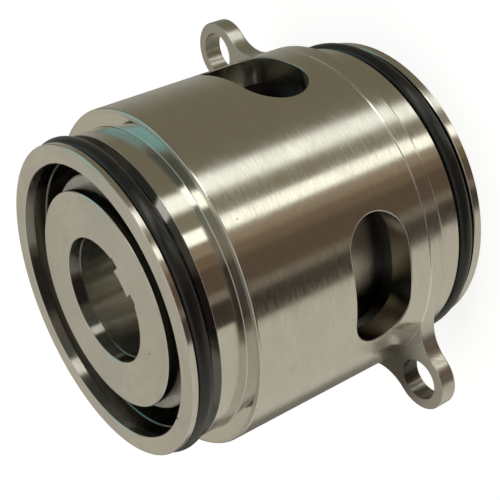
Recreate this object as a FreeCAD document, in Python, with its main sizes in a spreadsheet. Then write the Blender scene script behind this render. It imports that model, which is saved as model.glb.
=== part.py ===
import FreeCAD, Part
import math
import os
import re
import Sketcher

# A double cartridge mechanical seal for a 25 mm shaft.
# The shaft axis is Z. The rear end flange stands on z = 0 and the front spigot points up.
# The two ears lie on the X axis and the four wall slots halfway between X and Y.
# Sizes across the axis are added up from the shaft outwards, and heights from the rear end up.

SIZES = {
    # shaft sleeve
    "shaft_radius": 12.5,
    "sleeve_wall": 3.1,
    "sleeve_foot": 0.8,
    "front_bore_step": 0.33,
    "front_bore_depth": 2.6,
    "disc_step": 2.03,
    "disc_recess": 1.25,
    "disc_thickness": 2.8,
    "tongue_rise": 1.45,
    "tongue_root": 0.6,
    "tongue_width": 5.4,
    "tongue_gap": 0.3,
    "tongue_angle": 263.2,
    "relief_width": 2.2,
    "relief_rise": 0.1,
    # fixed carrier with a cavity at each end
    "carrier_clearance": 0.8,
    "seat_width": 6.4,
    "cavity_wall": 2.4,
    "cavity_depth": 8.2,
    "carrier_core": 25.3,
    "carrier_flange": 2.3,
    "spring_radius": 1.4,
    "spring_wall": 0.5,
    "spring_play": 0.2,
    "spring_hole_depth": 7.0,
    "spring_count": 6,
    "pin_count": 2,
    "stop_pin_radius": 1.2,
    "stop_pin_depth": 4.0,
    "stop_pin_reach": 3.4,
    "stop_pin_angle": 30.0,
    "stop_play": 0.5,
    "stop_end_gap": 0.4,
    # casing with its front spigot
    "carrier_space": 4.3,
    "barrel_wall": 5.5,
    "spigot_length": 12.4,
    "spigot_step": 3.25,
    "land_step": 0.25,
    "spigot_lip": 1.3,
    "groove_wall": 0.9,
    "mouth_depth": 4.7,
    "mouth_step": 0.25,
    "throat_depth": 9.3,
    "shoulder_rise": 0.35,
    "shoulder_fillet": 0.2,
    # slots through the casing wall
    "slot_rise": 1.05,
    "slot_width": 13.8,
    "slot_length": 26.5,
    "slot_angle": 45.0,
    "slot_count": 4,
    # gland plate with its ears and rear spigot
    "end_flange_step": 2.85,
    "end_flange_height": 2.1,
    "rear_land_step": 2.4,
    "rear_land_length": 6.35,
    "flange_thickness": 3.9,
    "register_step": 1.7,
    "register_height": 1.7,
    "gland_wall": 3.68,
    "ear_reach": 7.0,
    "ear_radius": 6.8,
    "ear_hole_radius": 4.5,
    "ear_fillet": 9.0,
    # sealing rings of the spigots and of the cover
    "oring_section": 1.75,
    "groove_play": 1.5,
    "front_oring_proud": 0.6,
    "rear_oring_proud": 1.03,
    "cover_groove_inset": 2.8,
    "cover_groove_play": 0.62,
    "cover_groove_gap": 0.02,
    "cover_oring_section": 0.69,
    # spring loaded static rings
    "static_bore_step": 0.3,
    "static_clearance": 0.4,
    "static_back_gap": 1.7,
    "static_length": 8.6,
    "nose_length": 1.9,
    "nose_inner_step": 0.9,
    "nose_outer_step": 1.4,
    "static_groove_back": 4.0,
    "static_groove_play": 0.2,
    "static_oring_section": 0.9,
    "static_oring_gap": 0.1,
    # rotating rings and what holds them
    "rotary_rise": 1.4,
    "rotary_bore_gap": 0.1,
    "rotary_thickness": 5.85,
    "rotary_neck_length": 1.1,
    "rotary_neck_wall": 2.8,
    "rotary_corner_play": 0.34,
    "rotary_oring_section": 0.98,
    "rotary_oring_gap": 0.24,
    "drive_pin_radius": 1.1,
    "drive_pin_depth": 1.35,
    "drive_pin_reach": 3.0,
    "holder_step": 1.7,
    "holder_foot": 3.75,
    "holder_thickness": 3.7,
    "snap_groove_depth": 0.7,
    "snap_rise": 2.4,
    "snap_thickness": 1.0,
    "shaft_groove_low": 10.2,
    "shaft_groove_high": 13.05,
    "shaft_groove_play": 0.54,
    "shaft_oring_section": 0.83,
    "shaft_oring_gap": 0.04,
    # edges
    "edge_break": 0.3,
    "joint_break": 0.15,
    "barrel_round": 0.35,
    "flange_front_round": 0.3,
    "flange_rear_round": 0.5,
    "slot_break": 0.25,
}

# Sizes across the axis, from the shaft outwards
SLEEVE = "(shaft_radius + sleeve_wall)"
FRONT_BORE = "(shaft_radius + front_bore_step)"
TONGUE_REACH = "(shaft_radius - tongue_rise)"
SHAFT_GROOVE = "(shaft_radius + shaft_oring_gap + 2 * shaft_oring_section)"
SNAP_GROOVE = "(%s - snap_groove_depth)" % SLEEVE
CARRIER_BORE = "(%s + carrier_clearance)" % SLEEVE
SEAT_CIRCLE = "(%s + seat_width / 2)" % CARRIER_BORE
CAVITY = "(%s + seat_width)" % CARRIER_BORE
CARRIER = "(%s + cavity_wall)" % CAVITY
STATIC_BORE = "(%s + static_bore_step)" % CARRIER_BORE
STATIC_OUTER = "(%s - static_clearance)" % CAVITY
STATIC_GROOVE = "(%s - static_oring_gap - 2 * static_oring_section)" % CAVITY
ROTARY_BORE = "(%s + rotary_bore_gap)" % SLEEVE
ROTARY_CORNER = "(%s + rotary_oring_gap + 2 * rotary_oring_section)" % SLEEVE
ROTARY_NECK = "(%s + rotary_neck_wall)" % ROTARY_CORNER
DRIVE_CIRCLE = "(%s + rotary_neck_wall / 2)" % ROTARY_CORNER
ROTARY = "(%s + rotary_rise)" % CAVITY
DISC = "(%s - disc_step)" % ROTARY
CHAMBER = "(%s + carrier_space)" % CARRIER
REGISTER = "(%s + register_step)" % CHAMBER
BARREL = "(%s + barrel_wall)" % CHAMBER
SPIGOT = "(%s - spigot_step)" % BARREL
FRONT_GROOVE = "(%s + front_oring_proud - 2 * oring_section)" % SPIGOT
MOUTH = "(%s - groove_wall)" % FRONT_GROOVE
THROAT = "(%s - mouth_step)" % MOUTH
END_FLANGE = "(%s - end_flange_step)" % BARREL
REAR_GROOVE = "(%s + rear_oring_proud - 2 * oring_section)" % END_FLANGE
GLAND_BORE = "(%s - gland_wall)" % REAR_GROOVE
COVER_GROOVE = "(%s - cover_groove_inset)" % REGISTER
EAR_OFFSET = "(%s + ear_reach)" % BARREL

# Heights, from the rear end up through the stack of rings to the front
REAR_NECK = "(holder_foot + holder_thickness)"
REAR_FACE = "(%s + rotary_neck_length + rotary_thickness)" % REAR_NECK
REAR_FLOOR = "(%s + static_length + static_back_gap)" % REAR_FACE
FRONT_FLOOR = "(%s + carrier_core)" % REAR_FLOOR
FRONT_FACE = "(%s + static_back_gap + static_length)" % FRONT_FLOOR
FRONT_NECK = "(%s + rotary_thickness + rotary_neck_length)" % FRONT_FACE
DISC_FACE = "(%s + disc_thickness)" % FRONT_NECK
FRONT_END = "(%s + disc_recess)" % DISC_FACE
GROOVE_WIDTH = "(2 * oring_section + groove_play)"
LAND_FOOT = "(end_flange_height + %s - joint_break)" % GROOVE_WIDTH
FLANGE_FOOT = "(%s + rear_land_length)" % LAND_FOOT
CASING_FOOT = "(%s + flange_thickness)" % FLANGE_FOOT
REGISTER_FACE = "(%s + register_height)" % CASING_FOOT
REGISTER_TOP = "(%s + carrier_flange)" % REGISTER_FACE
SLOT_HEIGHT = "(%s + slot_rise + slot_width / 2)" % REGISTER_TOP
BARREL_TOP = "(%s - spigot_length)" % FRONT_END

# Sketch edges start near here, and their constraints move them into place
FIRST_PLACE = 10.0
NEXT_PLACE = 3.0
TOUCHING = 0.01

doc = FreeCAD.newDocument("cartridge_seal")
sheet = doc.addObject("Spreadsheet::Sheet", "Sizes")
for row, (word, value) in enumerate(SIZES.items(), start=1):
    sheet.set("A%d" % row, word)
    sheet.set("B%d" % row, str(value))
    sheet.setAlias("B%d" % row, word)
doc.recompute()

pieces = []


def bound(text):
    """Turn a sum of size names into an expression on the sheet."""
    return re.sub(r"[a-z][a-z_]+", lambda word: "Sizes." + word.group(0), text)


def new_body(label):
    """Add an empty body that becomes the piece of that name."""
    body = doc.addObject("PartDesign::Body", "Body_" + label)
    body.Label = label
    pieces.append(body)
    return body


def origin_plane(body, role):
    """Find one of the body's own origin planes or axes."""
    return [item for item in body.Origin.OriginFeatures if item.Role == role][0]


def new_sketch(body, name, role):
    """Add a sketch on an origin plane of the body."""
    sketch = body.newObject("Sketcher::SketchObject", name)
    sketch.AttachmentSupport = [(origin_plane(body, role), "")]
    sketch.MapMode = "FlatFace"
    return sketch


def turn_offset(sketch, axis, angle):
    """Turn a sketch about an axis of its plane by a named angle."""
    offset = sketch.AttachmentOffset
    offset.Rotation = FreeCAD.Rotation(axis, 1.0)
    sketch.AttachmentOffset = offset
    sketch.setExpression(".AttachmentOffset.Rotation.Angle", bound(angle))


def hold_point(sketch, line, end, across, along):
    """Fix one end of an edge at named distances from the sketch's origin."""
    for kind, text in (("DistanceX", across), ("DistanceY", along)):
        if text == "0":
            axis = -2 if kind == "DistanceX" else -1
            sketch.addConstraint(Sketcher.Constraint("PointOnObject", line, end, axis))
            continue
        index = sketch.addConstraint(Sketcher.Constraint(kind, -1, 1, line, end, 1.0))
        sketch.setExpression("Constraints[%d]" % index, bound(text))


def outline(sketch, corners):
    """Draw a closed outline of straight edges whose corners are held by named sizes."""
    total = len(corners)
    places = [FreeCAD.Vector(FIRST_PLACE + i, NEXT_PLACE * i, 0) for i in range(total)]
    for i in range(total):
        sketch.addGeometry(Part.LineSegment(places[i], places[(i + 1) % total]), False)
    for i in range(total):
        sketch.addConstraint(Sketcher.Constraint("Coincident", i, 2, (i + 1) % total, 1))
    for i, (across, along) in enumerate(corners):
        hold_point(sketch, i, 1, across, along)


def block(sketch, near, far, low, high):
    """Draw a rectangle whose sides stand at named distances."""
    outline(sketch, [(near, low), (far, low), (far, high), (near, high)])


def circle(sketch, radius, across, along):
    """Draw a circle of a named radius about a named centre."""
    centre = FreeCAD.Vector(FIRST_PLACE, NEXT_PLACE, 0)
    index = sketch.addGeometry(Part.Circle(centre, FreeCAD.Vector(0, 0, 1), 1.0), False)
    size = sketch.addConstraint(Sketcher.Constraint("Radius", index, 1.0))
    sketch.setExpression("Constraints[%d]" % size, bound(radius))
    hold_point(sketch, index, 3, across, along)


def spin(body, sketch):
    """Turn a half profile once round the shaft axis."""
    feature = body.newObject("PartDesign::Revolution", "Turned_" + body.Label)
    feature.Profile = sketch
    feature.ReferenceAxis = (sketch, ["V_Axis"])
    feature.Angle = 360
    doc.recompute()


def turned(body, corners):
    """Turn a profile of straight edges, and give back its solved corners as radius and height."""
    sketch = new_sketch(body, "Profile_" + body.Label, "XZ_Plane")
    outline(sketch, corners)
    spin(body, sketch)
    return [edge.StartPoint for edge in sketch.Geometry]


def ring_seal(label, section, radius, height):
    """A round sealing ring about the shaft axis."""
    body = new_body(label)
    sketch = new_sketch(body, "Profile_" + label, "XZ_Plane")
    circle(sketch, section, radius, height)
    spin(body, sketch)


def cut_down(body, sketch, name, depth, reverse):
    """Cut a sketch's outline into the body and make sure that it took something away."""
    before = body.Shape.Volume
    feature = body.newObject("PartDesign::Pocket", name)
    feature.Profile = sketch
    feature.Type = 0
    feature.setExpression("Length", bound(depth))
    feature.Reversed = reverse
    doc.recompute()
    if body.Shape.Volume > before - TOUCHING:
        raise RuntimeError(name + " cuts nothing")
    return feature


def pad_up(body, sketch, name, height, reverse):
    """Raise a sketch's outline from the body and make sure that it added something."""
    before = body.Shape.Volume
    feature = body.newObject("PartDesign::Pad", name)
    feature.Profile = sketch
    feature.setExpression("Length", bound(height))
    feature.Reversed = reverse
    doc.recompute()
    if body.Shape.Volume < before + TOUCHING:
        raise RuntimeError(name + " adds nothing")


def pattern(body, feature, name, count):
    """Repeat a feature evenly round the shaft axis."""
    copies = body.newObject("PartDesign::PolarPattern", name)
    copies.Originals = [feature]
    copies.Axis = (origin_plane(body, "Z_Axis"), [""])
    copies.Angle = 360
    copies.setExpression("Occurrences", bound(count))
    body.Tip = copies
    doc.recompute()


def flat_sketch(body, name, height, angle="0"):
    """Add a sketch across the shaft axis at a named height, turned by a named angle."""
    sketch = new_sketch(body, name, "XY_Plane")
    if angle != "0":
        turn_offset(sketch, FreeCAD.Vector(0, 0, 1), angle)
    sketch.setExpression(".AttachmentOffset.Base.z", bound(height))
    return sketch


def holes(body, name, height, radius, circle_radius, depth, count, angle="0", up=False):
    """Drill blind holes on a circle, down from a face or up into it."""
    sketch = flat_sketch(body, "Sketch_" + name, height, angle)
    circle(sketch, radius, circle_radius, "0")
    hole = cut_down(body, sketch, name, depth, up)
    pattern(body, hole, name + "_round", count)


def dress(body, kind, name, test, prop, size):
    """Round or break the edges of the body that pass a test of the edge and its middle."""
    base = body.Tip
    names = []
    for number, edge in enumerate(base.Shape.Edges, start=1):
        middle = edge.valueAt((edge.FirstParameter + edge.LastParameter) / 2)
        if test(edge, middle):
            names.append("Edge%d" % number)
    if not names:
        raise RuntimeError(name + " finds no edge")
    feature = body.newObject(kind, name)
    feature.Base = (base, names)
    feature.setExpression(prop, bound(size))
    doc.recompute()


def rods(label, radius, inner, circle_radius, foot, length, count, angle):
    """A group of equal round rods, or tubes with a named inner radius, that stand on a circle."""
    members = []
    for i in range(SIZES[count]):
        turn = bound("(%s + %d * 360 / %s)" % (angle, i, count)) + " * 1 deg"
        rod = doc.addObject("Part::Cylinder", "Rod_%s_%d" % (label, i))
        rod.setExpression("Radius", bound(radius))
        sized = [rod]
        if inner:
            core = doc.addObject("Part::Cylinder", "Core_%s_%d" % (label, i))
            core.setExpression("Radius", bound(inner))
            sized.append(core)
        for item in sized:
            item.setExpression("Height", bound(length))
            item.setExpression(".Placement.Base.x", "%s * cos(%s)" % (bound(circle_radius), turn))
            item.setExpression(".Placement.Base.y", "%s * sin(%s)" % (bound(circle_radius), turn))
            item.setExpression(".Placement.Base.z", bound(foot))
        if inner:
            tube = doc.addObject("Part::Cut", "Tube_%s_%d" % (label, i))
            tube.Base = rod
            tube.Tool = core
            members.append(tube)
        else:
            members.append(rod)
    gather(label, members)


def gather(label, members):
    """Keep equal solids together as one piece."""
    group = doc.addObject("Part::Compound", "Group_" + label)
    group.Label = label
    group.Links = members
    pieces.append(group)
    doc.recompute()


def circle_at(corner):
    """A test for the circle that one corner of a turned profile draws."""
    def test(edge, middle):
        level = abs(middle.z - corner.y) < TOUCHING
        return edge.isClosed() and level and abs(math.hypot(middle.x, middle.y) - corner.x) < TOUCHING

    return test


def outline_at(corner):
    """A test for the edges of a flat face that lie at a corner's height and no nearer to the axis."""
    def test(edge, middle):
        level = abs(middle.z - corner.y) < TOUCHING
        return level and math.hypot(middle.x, middle.y) > corner.x - TOUCHING

    return test


# Casing: front spigot, shoulder, barrel and chamber in one turned profile
def make_casing():
    body = new_body("casing")
    groove_top = FRONT_END + " - spigot_lip"
    groove_foot = groove_top + " - " + GROOVE_WIDTH
    land = SPIGOT + " - land_step"
    mouth_floor = FRONT_END + " - mouth_depth"
    throat_foot = FRONT_END + " - throat_depth"
    barrel_edge = (BARREL, BARREL_TOP)
    shoulder_root = (land, BARREL_TOP + " + shoulder_rise")
    profile = [
        (REGISTER, CASING_FOOT),
        (BARREL + " - joint_break", CASING_FOOT),
        (BARREL, CASING_FOOT + " + joint_break"),
        barrel_edge,
        shoulder_root,
        (land, groove_foot + " - joint_break"),
        (land + " - joint_break", groove_foot),
        (FRONT_GROOVE, groove_foot),
        (FRONT_GROOVE, groove_top),
        (SPIGOT + " - joint_break", groove_top),
        (SPIGOT, groove_top + " + joint_break"),
        (SPIGOT, FRONT_END + " - joint_break"),
        (SPIGOT + " - joint_break", FRONT_END),
        (MOUTH + " + joint_break", FRONT_END),
        (MOUTH, FRONT_END + " - joint_break"),
        (MOUTH, mouth_floor),
        (THROAT, mouth_floor + " - mouth_step"),
        (THROAT, throat_foot),
        (CHAMBER, throat_foot + " - " + CHAMBER + " + " + THROAT),
        (CHAMBER, REGISTER_TOP),
        (REGISTER, REGISTER_TOP),
    ]
    corners = turned(body, profile)
    root = circle_at(corners[profile.index(shoulder_root)])
    dress(body, "PartDesign::Fillet", "Shoulder_fillet", root, "Radius", "shoulder_fillet")
    edge = circle_at(corners[profile.index(barrel_edge)])
    dress(body, "PartDesign::Fillet", "Barrel_round", edge, "Radius", "barrel_round")
    cut_slots(body)
    outer = max(corner.x for corner in corners)

    def on_rim(edge, middle):
        bent = not edge.isClosed() and edge.Curve.TypeId != "Part::GeomLine"
        return bent and abs(math.hypot(middle.x, middle.y) - outer) < TOUCHING

    dress(body, "PartDesign::Fillet", "Slot_rims", on_rim, "Radius", "slot_break")


def cut_slots(body):
    """Mill slots with round ends straight in towards the shaft."""
    sketch = new_sketch(body, "Slot_outline", "XZ_Plane")
    turn_offset(sketch, FreeCAD.Vector(0, 1, 0), "slot_angle")
    sketch.setExpression(".AttachmentOffset.Base.y", bound(SLOT_HEIGHT))
    half = SIZES["slot_width"] / 2
    reach = FreeCAD.Vector(SIZES["slot_length"] / 2 - half, 0, 0)
    rise = FreeCAD.Vector(0, half, 0)
    quarter = math.pi / 2
    right = Part.Circle(reach, FreeCAD.Vector(0, 0, 1), half)
    left = Part.Circle(-reach, FreeCAD.Vector(0, 0, 1), half)
    right_end = sketch.addGeometry(Part.ArcOfCircle(right, -quarter, quarter), False)
    left_end = sketch.addGeometry(Part.ArcOfCircle(left, quarter, 3 * quarter), False)
    low_side = sketch.addGeometry(Part.LineSegment(-reach - rise, reach - rise), False)
    high_side = sketch.addGeometry(Part.LineSegment(reach + rise, rise - reach), False)
    for rule in (
        ("Tangent", low_side, 2, right_end, 1),
        ("Tangent", right_end, 2, high_side, 1),
        ("Tangent", high_side, 2, left_end, 1),
        ("Tangent", left_end, 2, low_side, 1),
        ("Horizontal", low_side),
        ("Equal", right_end, left_end),
        ("Symmetric", left_end, 3, right_end, 3, -1, 1),
    ):
        sketch.addConstraint(Sketcher.Constraint(*rule))
    width = sketch.addConstraint(Sketcher.Constraint("Radius", right_end, half))
    sketch.setExpression("Constraints[%d]" % width, bound("slot_width / 2"))
    length = sketch.addConstraint(Sketcher.Constraint("DistanceX", left_end, 3, right_end, 3, 2 * reach.x))
    sketch.setExpression("Constraints[%d]" % length, bound("slot_length - slot_width"))
    slot = cut_down(body, sketch, "Slot", BARREL + " + edge_break", False)
    pattern(body, slot, "Slots", "slot_count")


# Gland plate: rear spigot, flange, register and ears
def make_gland_plate():
    body = new_body("gland_plate")
    half_groove = "(cover_oring_section + cover_groove_play / 2)"
    groove_floor = REGISTER_FACE + " - 2 * cover_oring_section - cover_groove_gap"
    flange_rear = (BARREL, FLANGE_FOOT)
    flange_front = (BARREL, CASING_FOOT)
    profile = [
        (GLAND_BORE + " + edge_break", "0"),
        (END_FLANGE + " - edge_break", "0"),
        (END_FLANGE, "edge_break"),
        (END_FLANGE, "end_flange_height - joint_break"),
        (END_FLANGE + " - joint_break", "end_flange_height"),
        (REAR_GROOVE, "end_flange_height"),
        (REAR_GROOVE, LAND_FOOT),
        (BARREL + " - rear_land_step - joint_break", LAND_FOOT),
        (BARREL + " - rear_land_step", LAND_FOOT + " + joint_break"),
        (BARREL + " - rear_land_step", FLANGE_FOOT),
        flange_rear,
        flange_front,
        (REGISTER, CASING_FOOT),
        (REGISTER, REGISTER_FACE),
        (COVER_GROOVE + " + " + half_groove, REGISTER_FACE),
        (COVER_GROOVE + " + " + half_groove, groove_floor),
        (COVER_GROOVE + " - " + half_groove, groove_floor),
        (COVER_GROOVE + " - " + half_groove, REGISTER_FACE),
        (GLAND_BORE, REGISTER_FACE),
        (GLAND_BORE, "edge_break"),
    ]
    corners = turned(body, profile)
    front = corners[profile.index(flange_front)]
    rear = corners[profile.index(flange_rear)]
    for turn, name in (("0", "right"), ("180", "left")):
        sketch = flat_sketch(body, "Ear_outline_" + name, FLANGE_FOOT, turn)
        ear_outline(sketch, front.x)
        pad_up(body, sketch, "Ear_" + name, "flange_thickness", False)
    dress(body, "PartDesign::Fillet", "Flange_front_round", outline_at(front), "Radius", "flange_front_round")
    dress(body, "PartDesign::Fillet", "Flange_rear_round", outline_at(rear), "Radius", "flange_rear_round")
    holes(body, "Ear_hole", CASING_FOOT, "ear_hole_radius", EAR_OFFSET, "flange_thickness", "pin_count")


def ear_outline(sketch, flange):
    """An ear's round end, its hollow necks down to the flange's rim and a chord inside the flange."""
    offset = flange + SIZES["ear_reach"]
    radius = SIZES["ear_radius"]
    neck = SIZES["ear_fillet"]
    up = FreeCAD.Vector(0, 0, 1)
    centre_x = ((flange + neck) ** 2 - (radius + neck) ** 2 + offset ** 2) / (2 * offset)
    centre_y = math.sqrt((flange + neck) ** 2 - centre_x ** 2)
    to_ear = math.atan2(centre_y, offset - centre_x)
    to_flange = math.atan2(centre_y, -centre_x)
    end = Part.Circle(FreeCAD.Vector(offset, 0, 0), up, radius)
    high = Part.Circle(FreeCAD.Vector(centre_x, centre_y, 0), up, neck)
    low = Part.Circle(FreeCAD.Vector(centre_x, -centre_y, 0), up, neck)
    root = FreeCAD.Vector(centre_x, centre_y, 0) * (flange / (flange + neck))
    mirrored = FreeCAD.Vector(root.x, -root.y, 0)
    round_end = sketch.addGeometry(Part.ArcOfCircle(end, to_ear - math.pi, math.pi - to_ear), False)
    upper = sketch.addGeometry(Part.ArcOfCircle(high, -to_flange, -to_ear), False)
    lower = sketch.addGeometry(Part.ArcOfCircle(low, to_ear, to_flange), False)
    chord = sketch.addGeometry(Part.LineSegment(mirrored, root), False)
    rim = sketch.addGeometry(Part.Circle(FreeCAD.Vector(0, 0, 0), up, flange), True)
    spoke = sketch.addGeometry(Part.LineSegment(FreeCAD.Vector(0, 0, 0), high.Center), True)
    for rule in (
        ("PointOnObject", round_end, 3, -1),
        ("Tangent", round_end, 2, upper, 2),
        ("Tangent", round_end, 1, lower, 1),
        ("Coincident", rim, 3, -1, 1),
        ("Coincident", spoke, 1, -1, 1),
        ("Coincident", spoke, 2, upper, 3),
        ("PointOnObject", upper, 1, spoke),
        ("PointOnObject", upper, 1, rim),
        ("Equal", upper, lower),
        ("Symmetric", upper, 1, lower, 2, -1),
        ("Coincident", chord, 2, upper, 1),
        ("Coincident", chord, 1, lower, 2),
    ):
        sketch.addConstraint(Sketcher.Constraint(*rule))
    for rule, size in (
        (("DistanceX", -1, 1, round_end, 3, offset), EAR_OFFSET),
        (("Radius", round_end, radius), "ear_radius"),
        (("Radius", upper, neck), "ear_fillet"),
        (("Radius", rim, flange), BARREL),
    ):
        index = sketch.addConstraint(Sketcher.Constraint(*rule))
        sketch.setExpression("Constraints[%d]" % index, bound(size))


# Fixed carrier in the middle of the casing, with a cavity at each end
def make_carrier():
    body = new_body("spring_carrier")
    foot = REAR_FLOOR + " - cavity_depth"
    top = FRONT_FLOOR + " + cavity_depth"
    turned(body, [
        (CARRIER_BORE, REAR_FLOOR),
        (CAVITY, REAR_FLOOR),
        (CAVITY, foot + " + edge_break"),
        (CAVITY + " + edge_break", foot),
        (CARRIER + " - edge_break", foot),
        (CARRIER, foot + " + edge_break"),
        (CARRIER, REGISTER_FACE),
        (REGISTER + " - joint_break", REGISTER_FACE),
        (REGISTER + " - joint_break", REGISTER_TOP),
        (CARRIER, REGISTER_TOP),
        (CARRIER, top + " - edge_break"),
        (CARRIER + " - edge_break", top),
        (CAVITY + " + edge_break", top),
        (CAVITY, top + " - edge_break"),
        (CAVITY, FRONT_FLOOR),
        (CARRIER_BORE, FRONT_FLOOR),
    ])
    spring_hole = "spring_radius + spring_play"
    for end, floor, up in (("Front", FRONT_FLOOR, False), ("Rear", REAR_FLOOR, True)):
        holes(body, end + "_spring_holes", floor, spring_hole, SEAT_CIRCLE, "spring_hole_depth",
              "spring_count", up=up)
        holes(body, end + "_stop_holes", floor, "stop_pin_radius", SEAT_CIRCLE, "stop_pin_depth",
              "pin_count", "stop_pin_angle", up=up)


# The two static rings are the same piece, facing opposite ways
def make_static_ring(label, floor, way):
    body = new_body(label)
    other = "-" if way == "+" else "+"
    back = "%s %s static_back_gap" % (floor, way)
    groove_near = "%s %s static_groove_back" % (back, way)
    groove_far = "%s %s (2 * static_oring_section + static_groove_play)" % (groove_near, way)
    nose_tip = "%s %s static_length" % (back, way)
    nose_foot = "%s %s nose_length" % (nose_tip, other)
    turned(body, [
        (STATIC_BORE, back),
        (STATIC_OUTER, back),
        (STATIC_OUTER, groove_near),
        (STATIC_GROOVE, groove_near),
        (STATIC_GROOVE, groove_far),
        (STATIC_OUTER, groove_far),
        (STATIC_OUTER, nose_foot),
        (STATIC_OUTER + " - nose_outer_step", nose_foot),
        (STATIC_OUTER + " - nose_outer_step", nose_tip),
        (STATIC_BORE + " + nose_inner_step", nose_tip),
        (STATIC_BORE + " + nose_inner_step", nose_foot),
        (STATIC_BORE, nose_foot),
    ])
    holes(body, "Stop_holes_" + label, back, "stop_pin_radius + stop_play", SEAT_CIRCLE,
          "stop_pin_reach + stop_end_gap", "pin_count", "stop_pin_angle", up=(way == "+"))


# The two rotating rings are the same piece, facing opposite ways
def make_rotary_ring(label, face, way):
    body = new_body(label)
    other = "-" if way == "+" else "+"
    back = "%s %s rotary_thickness" % (face, way)
    neck = "%s %s rotary_neck_length" % (back, way)
    corner = "%s %s (2 * rotary_oring_section + rotary_corner_play)" % (neck, other)
    turned(body, [
        (ROTARY_BORE, face),
        (ROTARY + " - edge_break", face),
        (ROTARY, "%s %s edge_break" % (face, way)),
        (ROTARY, "%s %s edge_break" % (back, other)),
        (ROTARY + " - edge_break", back),
        (ROTARY_NECK, back),
        (ROTARY_NECK, neck),
        (ROTARY_CORNER, neck),
        (ROTARY_CORNER, corner),
        (ROTARY_BORE, corner),
    ])
    holes(body, "Pin_holes_" + label, neck, "drive_pin_radius", DRIVE_CIRCLE, "drive_pin_reach",
          "pin_count", up=(way == "-"))


# Shaft sleeve with its front disc, drive tongue and grooves
def make_sleeve():
    body = new_body("shaft_sleeve")
    bore_step = DISC_FACE + " - front_bore_depth"
    groove_play = "(shaft_oring_section + shaft_groove_play / 2)"
    low_ring = "(sleeve_foot + shaft_groove_low)"
    high_ring = "(" + DISC_FACE + " - shaft_groove_high)"
    turned(body, [
        ("shaft_radius + joint_break", "sleeve_foot"),
        (SLEEVE + " - edge_break", "sleeve_foot"),
        (SLEEVE, "sleeve_foot + edge_break"),
        (SLEEVE, "holder_foot - snap_thickness"),
        (SNAP_GROOVE, "holder_foot - snap_thickness"),
        (SNAP_GROOVE, "holder_foot"),
        (SLEEVE, "holder_foot"),
        (SLEEVE, FRONT_NECK),
        (DISC + " - edge_break", FRONT_NECK),
        (DISC, FRONT_NECK + " + edge_break"),
        (DISC, DISC_FACE + " - joint_break"),
        (DISC + " - joint_break", DISC_FACE),
        (FRONT_BORE + " + joint_break", DISC_FACE),
        (FRONT_BORE, DISC_FACE + " - joint_break"),
        (FRONT_BORE, bore_step),
        ("shaft_radius", bore_step),
        ("shaft_radius", high_ring + " + " + groove_play),
        (SHAFT_GROOVE, high_ring + " + " + groove_play),
        (SHAFT_GROOVE, high_ring + " - " + groove_play),
        ("shaft_radius", high_ring + " - " + groove_play),
        ("shaft_radius", low_ring + " + " + groove_play),
        (SHAFT_GROOVE, low_ring + " + " + groove_play),
        (SHAFT_GROOVE, low_ring + " - " + groove_play),
        ("shaft_radius", low_ring + " - " + groove_play),
        ("shaft_radius", "sleeve_foot + joint_break"),
    ])
    cut_reliefs(body)
    add_tongue(body)
    holes(body, "Sleeve_pin_holes", FRONT_NECK, "drive_pin_radius", DRIVE_CIRCLE, "drive_pin_depth",
          "pin_count", up=True)
    flush_rings("shaft_orings", (low_ring, high_ring))


def cut_reliefs(body):
    """Cut the narrow relief on each side of the drive tongue."""
    side = "tongue_width / 2"
    for name, low, high in (
        ("upper", side, side + " + relief_width"),
        ("lower", "0 - relief_width - " + side, "0 - " + side),
    ):
        sketch = flat_sketch(body, "Relief_outline_" + name, DISC_FACE, "tongue_angle")
        block(sketch, TONGUE_REACH, "shaft_radius + relief_rise", low, high)
        cut_down(body, sketch, "Relief_" + name, "front_bore_depth", False)


def add_tongue(body):
    """Add the drive tongue in the wider front bore and round its inner side."""
    depth = "front_bore_depth - tongue_gap"
    sketch = flat_sketch(body, "Tongue_outline", DISC_FACE, "tongue_angle")
    block(sketch, TONGUE_REACH + " - edge_break", FRONT_BORE + " + tongue_root",
          "0 - tongue_width / 2", "tongue_width / 2")
    pad_up(body, sketch, "Tongue", depth, True)
    sketch = flat_sketch(body, "Tongue_bore", DISC_FACE)
    circle(sketch, TONGUE_REACH, "0", "0")
    cut_down(body, sketch, "Tongue_face", depth, False)


def flush_rings(label, heights):
    """Sealing rings in the sleeve's bore, nearly flush with it."""
    rings = []
    for height in heights:
        ring = doc.addObject("Part::Torus", "Shaft_ring_%d" % len(rings))
        ring.setExpression("Radius1", bound(SHAFT_GROOVE + " - shaft_oring_section"))
        ring.setExpression("Radius2", bound("shaft_oring_section"))
        ring.setExpression(".Placement.Base.z", bound(height))
        rings.append(ring)
    gather(label, rings)


# Ring behind the rear rotating ring, kept on the sleeve by a snap ring
def make_holder():
    body = new_body("rear_holder")
    holder = ROTARY + " - holder_step"
    turned(body, [
        (ROTARY_BORE, "holder_foot"),
        (holder + " - edge_break", "holder_foot"),
        (holder, "holder_foot + edge_break"),
        (holder, REAR_NECK),
        (ROTARY_BORE, REAR_NECK),
    ])
    holes(body, "Holder_pin_holes", REAR_NECK, "drive_pin_radius", DRIVE_CIRCLE, "drive_pin_depth",
          "pin_count")


def make_snap_ring():
    turned(new_body("retaining_ring"), [
        (SNAP_GROOVE, "holder_foot - snap_thickness"),
        (SLEEVE + " + snap_rise", "holder_foot - snap_thickness"),
        (SLEEVE + " + snap_rise", "holder_foot"),
        (SNAP_GROOVE, "holder_foot"),
    ])


make_casing()
make_gland_plate()
make_carrier()
make_sleeve()
make_static_ring("front_static_ring", FRONT_FLOOR, "+")
make_static_ring("rear_static_ring", REAR_FLOOR, "-")
make_rotary_ring("front_rotary_ring", FRONT_FACE, "+")
make_rotary_ring("rear_rotary_ring", REAR_FACE, "-")
make_holder()
make_snap_ring()

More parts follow.
